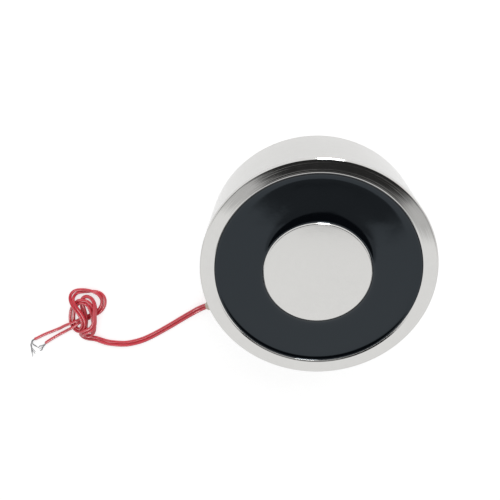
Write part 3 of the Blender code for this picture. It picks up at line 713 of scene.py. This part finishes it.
# The pair's line through the knot, from the way in to the way out: distance out, distance to
# the left, height, roll, and spread, the spacing of the two leads as a share of LEAD_SPACING.
# It ducks under, turns up and wraps over the foot of the knot, goes up the right side, over the
# top and down the middle, round the foot, up and over again, round the left lobe, up and round
# the big loop, and out underneath.
KNOT_ROUTE = (
    (0.0790, -0.0164, 0.0012, 0, 1),
    (0.0807, -0.0175, 0.0009, 0, 1),
    (0.0821, -0.0190, 0.0009, 0, 1),
    (0.0818, -0.0209, 0.0020, 0, 1),
    (0.0796, -0.0227, 0.0039, 0, 1),
    (0.0771, -0.0229, 0.0052, 0, 1),
    (0.0749, -0.0225, 0.0056, 0, 1),
    (0.0725, -0.0227, 0.0055, 20, 1),
    (0.0703, -0.0237, 0.0053, 50, 1),
    (0.0683, -0.0257, 0.0050, 75, 1),
    (0.0658, -0.0286, 0.0046, 85, 1),
    (0.0635, -0.0316, 0.0038, 90, 1),
    (0.0624, -0.0349, 0.0030, 105, 1),
    (0.0630, -0.0374, 0.0029, 118, 1),
    (0.0651, -0.0384, 0.0029, 100, 1),
    (0.0679, -0.0372, 0.0028, 60, 1),
    (0.0700, -0.0338, 0.0028, 20, 1),
    (0.0723, -0.0302, 0.0026, 0, 1),
    (0.0751, -0.0268, 0.0024, 10, 1),
    (0.0779, -0.0243, 0.0023, 40, 1),
    (0.0795, -0.0221, 0.0027, 70, 1),
    (0.0797, -0.0201, 0.0033, 90, 1),
    (0.0786, -0.0189, 0.0034, 90, 1),
    (0.0766, -0.0189, 0.0030, 80, 1),
    (0.0744, -0.0205, 0.0025, 75, 1),
    (0.0722, -0.0229, 0.0022, 75, 1),
    (0.0697, -0.0258, 0.0024, 75, 1),
    (0.0670, -0.0294, 0.0036, 60, 1),
    (0.0650, -0.0328, 0.0048, 30, 1),
    (0.0645, -0.0355, 0.0051, 10, 1),
    (0.0659, -0.0372, 0.0047, 0, 1),
    (0.0684, -0.0379, 0.0037, 0, 1),
    (0.0717, -0.0375, 0.0024, 0, 1.05),
    (0.0754, -0.0361, 0.0014, 0, 1.1),
    (0.0787, -0.0337, 0.0009, 0, 1.2),
    (0.0815, -0.0306, 0.0009, 0, 1.2),
    (0.0830, -0.0276, 0.0009, 0, 1.1),
    (0.0828, -0.0249, 0.0012, 0, 1),
    (0.0798, -0.0242, 0.0026, 0, 1),
    (0.0759, -0.0260, 0.0042, 0, 1),
    (0.0733, -0.0292, 0.0050, 0, 1),
    (0.0723, -0.0324, 0.0050, 0, 1),
    (0.0720, -0.0355, 0.0050, 0, 1),
    (0.0719, -0.0380, 0.0044, 0, 1),
    (0.0718, -0.0402, 0.0032, 0, 1.05),
    (0.0710, -0.0420, 0.0018, 0, 1.1),
    (0.0690, -0.0427, 0.0010, 0, 1.1),
    (0.0664, -0.0421, 0.0009, 5, 1),
    (0.0633, -0.0405, 0.0011, 25, 1),
    (0.0602, -0.0384, 0.0015, 60, 1),
    (0.0581, -0.0358, 0.0017, 100, 1),
    (0.0580, -0.0327, 0.0013, 145, 1),
    (0.0598, -0.0300, 0.0009, 175, 1.1),
    (0.0624, -0.0281, 0.0009, 180, 1),
    (0.0656, -0.0273, 0.0009, 180, 1),
    (0.0689, -0.0272, 0.0009, 180, 1),
    (0.0722, -0.0276, 0.0009, 180, 1),
    (0.0749, -0.0281, 0.0014, 180, 1),
    (0.0771, -0.0288, 0.0026, 180, 1),
)
# The two ends past the knot: distance out, distance to the left, height above the table's lie
TAIL_A_ROUTE = (
    (0.0868, -0.0310, 0.0009),
    (0.0897, -0.0310, 0.0003),
    (0.0936, -0.0316, 0.0001),
    (0.0974, -0.0323, 0.0001),
    (0.1013, -0.0329, 0.0001),
    (0.1045, -0.0332, 0.0001),
    (0.1064, -0.0335, 0.0001),
)
TAIL_B_ROUTE = (
    (0.0881, -0.0279, 0.0002),
    (0.0923, -0.0282, 0.0001),
    (0.0966, -0.0284, 0.0001),
    (0.1009, -0.0285, 0.0001),
    (0.1031, -0.0284, 0.0001),
)


def pair_line():
    """The line of the pair from the wire hole's mouth through the knot, with roll and spread."""
    run = np.array(PAIR_RUN)
    lower_lead = LEAD_SPACING / 2 * np.sin(np.radians(run[:, 3]))
    run[:, 2] += LEAD_RADIUS + lower_lead
    held = np.vstack([(0.0, 0.0, EXIT_HEIGHT, 0.0), droop, run])
    held = np.column_stack([held, np.ones(len(held))])
    return smooth_line(out_from_hole(np.vstack([held, KNOT_ROUTE])), KNOT_STEP / 2)


def beside(line, side):
    """One lead of the pair: half the spacing to the left or right, turned by the pair's roll."""
    _, left, up = directions(line)
    roll = np.radians(line[:, 3:4])
    away = side * LEAD_SPACING / 2 * line[:, 4:]
    return line[:, :3] + away * (left * np.cos(roll) + up * np.sin(roll))


def lead_line(pair, side, tail):
    """One lead's line: its side of the pair, and then its own tail."""
    tail = out_from_hole(np.array(tail) + (0.0, 0.0, LEAD_RADIUS))
    held = evenly_spaced(beside(pair, side), 2.5 * KNOT_STEP)
    return smooth_line(np.vstack([held, tail]), KNOT_STEP)


def settle(lines, free):
    """Let the leads in the knot give way to each other, as soft wires of real thickness do.

    Each round moves the free points in four steps. They go part of the way to the middle of
    their neighbours, across the line for stiffness and along it for even spacing. They are
    drawn back a little towards the route. Any two points of different stretches that are
    closer than one diameter move apart by half of what is missing. None sinks into the table.
    """
    points = np.vstack(lines)
    split = len(lines[0])
    route = points.copy()
    loose = np.concatenate(free)
    give = loose[:, None].astype(float)
    index = np.arange(len(points))
    inner = index[2:-2]
    inner = inner[(inner < split - 2) | (inner > split + 1)]
    near_knot = np.where(np.convolve(loose, np.ones(13), mode="same") > 0)[0]
    lead = (near_knot >= split).astype(int)
    reach = math.ceil(SAME_STRETCH / KNOT_STEP)
    same_stretch = np.abs(near_knot[:, None] - near_knot) <= reach
    apart = (lead[:, None] != lead) | ~same_stretch
    for count in range(SETTLE_ROUNDS):
        fade = max(0.0, 1 - count / FADE_ROUNDS)
        near = (points[inner - 1] + points[inner + 1]) / 2
        wide = (4 * (points[inner - 1] + points[inner + 1]) - points[inner - 2] - points[inner + 2]) / 6
        along = points[inner + 1] - points[inner - 1]
        along /= np.linalg.norm(along, axis=1, keepdims=True)
        spread = ((near - points[inner]) * along).sum(axis=1, keepdims=True) * along
        bend = wide - points[inner]
        bend -= (bend * along).sum(axis=1, keepdims=True) * along
        points[inner] += (EVENING * spread + STIFFNESS * bend) * give[inner]
        points += HOLD * (fade + LAST_HOLD) * (route - points) * give
        for _ in range(2):
            here = points[near_knot]
            gap = here[:, None] - here
            distance = np.sqrt((gap**2).sum(axis=-1)) + 1e-12
            missing = np.where(apart & (distance < LEAD_DIAMETER), LEAD_DIAMETER - distance, 0.0)
            touching = np.maximum((missing > 0).sum(axis=1), 1)[:, None]
            push = (gap / distance[..., None] * missing[..., None]).sum(axis=1) / 2
            points[near_knot] += PUSH * push / touching * give[near_knot]
            points[:, 2] = np.where(loose, np.maximum(points[:, 2], LEAD_RADIUS), points[:, 2])
    return points[:split], points[split:]


def make_pvc():
    """Soft red PVC insulation: a satin body, a thin gloss and fine lines from the extruder.

    The lines are a noise that changes fast round the lead and slowly along it.
    """
    material, tree, shader = new_material(
        "red_pvc", LEAD_COLOUR, LEAD_ROUGHNESS, ior=1.53, subsurface_weight=0.08,
        subsurface_scale=0.0004, coat_weight=0.5, coat_roughness=0.07, coat_ior=1.52,
    )
    handle(tree, shader, LEAD_COLOUR, LEAD_ROUGHNESS, 0.007, 0.16, 0.10)
    wrap = add_node(tree, "ShaderNodeUVMap", uv_map="wrap").outputs["UV"]
    stretched = add_node(
        tree, "ShaderNodeVectorMath", {0: wrap, 1: LINE_SCALES}, operation="MULTIPLY"
    ).outputs[0]
    lines = add_node(tree, "ShaderNodeTexNoise", {"Vector": stretched, "Scale": 1.0, "Detail": 2.0})
    bump = add_node(
        tree, "ShaderNodeBump",
        {"Height": lines.outputs["Fac"], "Strength": 0.4, "Distance": 0.00003},
    )
    tree.links.new(bump.outputs["Normal"], shader.inputs["Normal"])
    return material


def lead_object(name, line):
    """One lead's insulation as a tube, with its cut end a little rounded."""
    radius = np.full(len(line), LEAD_RADIUS)
    radius[[0, -1]] *= 0.9
    piece = rows_to_object(name, ring_rows(line, radius, LEAD_SIDES))
    add_wrap_map(piece, line, LEAD_SIDES)
    piece.data.materials.append(PVC)
    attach(piece, "root")
    return piece


PVC = make_pvc()
pair = pair_line()
unsettled = (lead_line(pair, 1, TAIL_A_ROUTE), lead_line(pair, -1, TAIL_B_ROUTE))
free = []
for line, tail in zip(unsettled, (KNOT_TAIL_A, KNOT_TAIL_B)):
    travelled = np.arange(len(line)) * KNOT_STEP
    free.append((travelled > KNOT_START) & (travelled < travelled[-1] - tail))
settled = settle(unsettled, free)
lead_a_line, lead_b_line = (smooth_line(line, LEAD_STEP) for line in settled)
lead_a = lead_object("red_lead_a", lead_a_line)
lead_b = lead_object("red_lead_b", lead_b_line)
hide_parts("lead_a", "lead_a_tail", "lead_knot")
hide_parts("lead_b", "lead_b_tail")


# The bare ends
# Lead A is stripped for 13 mm and lead B for 7 mm. Their copper strands are dipped in tin, bent
# by hand, and splayed a little at the tip.
TINNED_RADIUS = 0.0004
STRAND_RADIUS = 0.00014
STRAND_SIDES = 10
STRAND_STEP = 0.00025
STRAND_LAY = 0.009
STRAND_WAVE = 0.00012
WAVE_LENGTH = 0.0031
# Dull tin, its colour darkened further as painted shade for the dark surroundings that the strands
# reflect
TINNED_COLOUR_WITH_PAINTED_SHADE = (0.30, 0.30, 0.31)
TINNED_A_ROUTE = (
    (0.1055, -0.0334, 0.0004),
    (0.1068, -0.0335, 0.0004),
    (0.1082, -0.0335, 0.0003),
    (0.1096, -0.0330, 0.0002),
    (0.1108, -0.0323, 0.0001),
    (0.1118, -0.0311, 0.0001),
    (0.1127, -0.0297, 0.0001),
    (0.1137, -0.0282, 0.0001),
    (0.1149, -0.0269, 0.0001),
    (0.1159, -0.0258, 0.0001),
)
TINNED_B_ROUTE = (
    (0.1020, -0.0285, 0.0004),
    (0.1034, -0.0282, 0.0004),
    (0.1045, -0.0278, 0.0003),
    (0.1058, -0.0275, 0.0002),
    (0.1071, -0.0271, 0.0001),
    (0.1084, -0.0265, 0.0001),
    (0.1096, -0.0262, 0.0001),
)
# For each strand: how far its tip strays to the left, and the shares of the bundle's length
# where it starts to stray and where it ends
STRANDS_A = (
    (0.0000, 0.50, 1.00), (0.0002, 0.50, 0.95), (-0.0002, 0.50, 0.88), (0.0011, 0.40, 0.86),
    (0.0014, 0.35, 0.78), (0.0040, 0.08, 0.62), (0.0028, 0.05, 0.52),
)
STRANDS_B = (
    (0.0000, 0.50, 1.00), (0.0002, 0.50, 0.93), (-0.0002, 0.50, 0.97), (0.0001, 0.50, 0.88),
    (-0.0008, 0.25, 0.92), (-0.0020, 0.12, 0.86), (-0.0016, 0.05, 0.72),
)


def strand_bundle(name, route, strays):
    """A bundle of seven strands, one straight and six laid round it.

    Strand k runs at a distance of two strand radii from the bundle's line, at an angle that
    turns once in the lay length. Past its own start it leaves the line sideways by the square
    of the way to its end, with a slow sine on top, and never goes below the table.
    """
    line = smooth_line(out_from_hole(np.array(route) + (0.0, 0.0, TINNED_RADIUS)), STRAND_STEP)
    travelled = np.arange(len(line)) * STRAND_STEP
    _, left, up = directions(line)
    pieces = []
    for k, (stray, start, end) in enumerate(strays):
        way = np.clip((travelled / travelled[-1] - start) / (end - start), 0, 1)[:, None]
        turn = 2 * np.pi * (travelled / STRAND_LAY + k / 6)[:, None]
        reach = 0.0 if k == 0 else 2 * STRAND_RADIUS
        strand = line[:, :3] + reach * (left * np.cos(turn) + up * np.sin(turn))
        wave = STRAND_WAVE * np.sin(2 * np.pi * travelled / WAVE_LENGTH + k)[:, None]
        strand = strand + (stray * way**2 + wave * way) * left
        strand[:, 2] = np.maximum(strand[:, 2], STRAND_RADIUS)
        pieces.append(ring_rows(strand[:round(end * len(strand))], STRAND_RADIUS, STRAND_SIDES))
    strands = [rows_to_object(f"{name}_{k}", rows) for k, rows in enumerate(pieces)]
    with bpy.context.temp_override(
        active_object=strands[0], selected_editable_objects=strands, selected_objects=strands
    ):
        bpy.ops.object.join()
    bundle = strands[0]
    bundle.name = name
    bundle.data.materials.append(TINNED)
    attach(bundle, "root")
    return bundle


# The strands' colour is dull tin with painted shade in it
TINNED = make_plain(
    "tinned_copper_painted_shade", TINNED_COLOUR_WITH_PAINTED_SHADE, 0.3, metallic=1.0, patch_size=0.0015, tone=0.5, gloss=0.2
)
bare_end_a = strand_bundle("bare_end_a", TINNED_A_ROUTE, STRANDS_A)
bare_end_b = strand_bundle("bare_end_b", TINNED_B_ROUTE, STRANDS_B)
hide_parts("tinned_end_a")
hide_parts("tinned_end_b")


# The studio
# A white table under an even white sky. A softbox and a wide key lamp stand behind the camera,
# and a small lamp gives the leads their glints. Overhead hangs a ceiling that only reflections
# see: dark where the camera is, grey next to it, then white.
FLOOR_SIZE = 6.0
FLOOR_COLOUR = (0.64, 0.64, 0.64)
LIFT_SEEN = 0.66
LIFT_MIRRORED = 0.50
SKY_LIGHT = 0.50
# Power, width, height and place of each lamp
SOFTBOX = (0.75, 0.22, 0.12, (-0.02, -0.71, 0.26))
KEY = (3.0, 0.90, 0.60, (-0.05, -0.80, 0.55))
GLINT = (0.50, 0.17, 0.14, (0.21, 0.26, 0.27))
CEILING_HEIGHT = 0.262
CEILING_LEFT, CEILING_RIGHT = -0.45, 0.40
CEILING_FRONT, CEILING_BACK = -0.40, 0.11
FRONT_EDGE = (-0.27, -0.25)
DARK_EDGE = (0.026, 0.032)
WHITE_EDGE = (0.052, 0.066)
GREY_MIDDLE = -0.030
GREY_EDGE = (0.050, 0.066)
FRONT_LIGHT, DARK_LIGHT, GREY_LIGHT, SIDE_LIGHT = 0.37, 0.026, 0.30, 0.62


def seen_rays(tree):
    """One for camera, glossy and transmission rays, and zero for the light that surfaces meet."""
    rays = add_node(tree, "ShaderNodeLightPath").outputs
    seen = add_node(
        tree, "ShaderNodeMath", {0: rays["Is Camera Ray"], 1: rays["Is Glossy Ray"]},
        operation="MAXIMUM",
    ).outputs[0]
    return add_node(
        tree, "ShaderNodeMath", {0: seen, 1: rays["Is Transmission Ray"]}, operation="MAXIMUM"
    ).outputs[0]


def make_table_material():
    """A matt white table top, lifted to white for the camera, and a little in reflections."""
    material, tree, shader = new_material(
        "white_table", FLOOR_COLOUR, 0.9, specular_ior_level=0.0,
        emission_color=(1.0, 1.0, 1.0, 1.0),
    )
    rays = add_node(tree, "ShaderNodeLightPath").outputs
    mirrored = add_node(
        tree, "ShaderNodeMath", {0: seen_rays(tree), 1: LIFT_MIRRORED}, operation="MULTIPLY"
    ).outputs[0]
    seen = add_node(
        tree, "ShaderNodeMath", {0: rays["Is Camera Ray"], 1: LIFT_SEEN}, operation="MULTIPLY"
    ).outputs[0]
    lift = add_node(tree, "ShaderNodeMath", {0: mirrored, 1: seen}, operation="MAXIMUM").outputs[0]
    tree.links.new(lift, shader.inputs["Emission Strength"])
    return material


def make_ceiling_material():
    """The ceiling's own light: dark by the camera, grey next to it, brighter to both sides.

    Each step is a smooth ramp between the two ends of its edge, along Y or away from the
    grey part's middle along X.
    """
    material = bpy.data.materials.new("ceiling")
    material.use_nodes = True
    tree = material.node_tree
    tree.nodes.remove(tree.nodes["Principled BSDF"])
    place = add_node(tree, "ShaderNodeTexCoord").outputs["Object"]
    axes = add_node(tree, "ShaderNodeSeparateXYZ", {0: place}).outputs
    off_middle = add_node(
        tree, "ShaderNodeMath", {0: axes["X"], 1: GREY_MIDDLE}, operation="SUBTRACT"
    ).outputs[0]
    sideways = add_node(tree, "ShaderNodeMath", {0: off_middle}, operation="ABSOLUTE").outputs[0]

    def ramp(value, edge, low, high):
        inputs = {"Value": value, "From Min": edge[0], "From Max": edge[1], "To Min": low, "To Max": high}
        node = add_node(tree, "ShaderNodeMapRange", inputs, interpolation_type="SMOOTHSTEP")
        return node.outputs["Result"]

    light = ramp(sideways, GREY_EDGE, GREY_LIGHT, SIDE_LIGHT)
    light = ramp(axes["Y"], WHITE_EDGE, light, 1.0)
    light = ramp(axes["Y"], DARK_EDGE, DARK_LIGHT, light)
    light = ramp(axes["Y"], FRONT_EDGE, FRONT_LIGHT, light)
    glow = add_node(tree, "ShaderNodeEmission", {"Strength": light})
    tree.links.new(glow.outputs[0], tree.nodes["Material Output"].inputs["Surface"])
    return material


def flat_object(name, x_low, x_high, y_low, y_high, height, material):
    """A level rectangle, for the studio only."""
    corners = [(x_low, y_low), (x_high, y_low), (x_high, y_high), (x_low, y_high)]
    mesh = bpy.data.meshes.new(name)
    mesh.from_pydata([(x, y, height) for x, y in corners], [], [(0, 1, 2, 3)])
    mesh.materials.append(material)
    obj = bpy.data.objects.new(name, mesh)
    bpy.context.scene.collection.objects.link(obj)
    return obj


half = FLOOR_SIZE / 2
flat_object("table", -half, half, -half, half, -0.00002, make_table_material())
ceiling = flat_object(
    "ceiling", CEILING_LEFT, CEILING_RIGHT, CEILING_FRONT, CEILING_BACK, CEILING_HEIGHT,
    make_ceiling_material(),
)
ceiling.visible_camera = False
ceiling.visible_diffuse = False
ceiling.visible_shadow = False

world = bpy.data.worlds.new("sky")
bpy.context.scene.world = world
world.use_nodes = True
sky_tree = world.node_tree
sky = sky_tree.nodes["Background"]
sky.inputs["Color"].default_value = (1.0, 1.0, 1.0, 1.0)
sky_light = add_node(
    sky_tree, "ShaderNodeMapRange", {"Value": seen_rays(sky_tree), "To Min": SKY_LIGHT, "To Max": 1.0}
)
sky_tree.links.new(sky_light.outputs["Result"], sky.inputs["Strength"])


def lamp_object(name, power, width, height, place):
    """A rectangular lamp that faces the magnet."""
    light = bpy.data.lights.new(name, "AREA")
    light.shape = "RECTANGLE"
    light.size = width
    light.size_y = height
    light.energy = power
    obj = bpy.data.objects.new(name, light)
    bpy.context.scene.collection.objects.link(obj)
    obj.location = place
    obj.rotation_euler = (-Vector(place)).to_track_quat("-Z", "Y").to_euler()
    return obj


lamp_object("softbox", *SOFTBOX)
key = lamp_object("key", *KEY)
key.visible_glossy = False
glint = lamp_object("glint", *GLINT)
glint.visible_diffuse = False
lit_by_glint = bpy.data.collections.new("lit_by_glint")
for lead in (lead_a, lead_b):
    lit_by_glint.objects.link(lead)
glint.light_linking.receiver_collection = lit_by_glint


# The camera
# It stands where the photograph was taken: close above the magnet, on the side away from the
# wire hole, looking steeply down, with the magnet upside down in the picture.
CAMERA_PLACE = (0.02958, -0.10454, 0.25809)
CAMERA_ELEVATION = math.radians(65.842)
CAMERA_ROLL = math.radians(187.969)
FOCAL_PIXELS = 574.111
PICTURE_PIXELS = 500
SENSOR_WIDTH = 36.0

camera_data = bpy.data.cameras.new("camera")
camera_data.sensor_width = SENSOR_WIDTH
camera_data.lens = FOCAL_PIXELS / PICTURE_PIXELS * SENSOR_WIDTH
camera_data.clip_start = 0.01
camera = bpy.data.objects.new("camera", camera_data)
bpy.context.scene.collection.objects.link(camera)
tilt = Matrix.Rotation(math.pi / 2 - CAMERA_ELEVATION, 4, "X")
roll = Matrix.Rotation(CAMERA_ROLL, 4, "Z")
camera.matrix_world = Matrix.Translation(CAMERA_PLACE) @ tilt @ roll
bpy.context.scene.camera = camera
bpy.context.scene.view_settings.view_transform = "Standard"
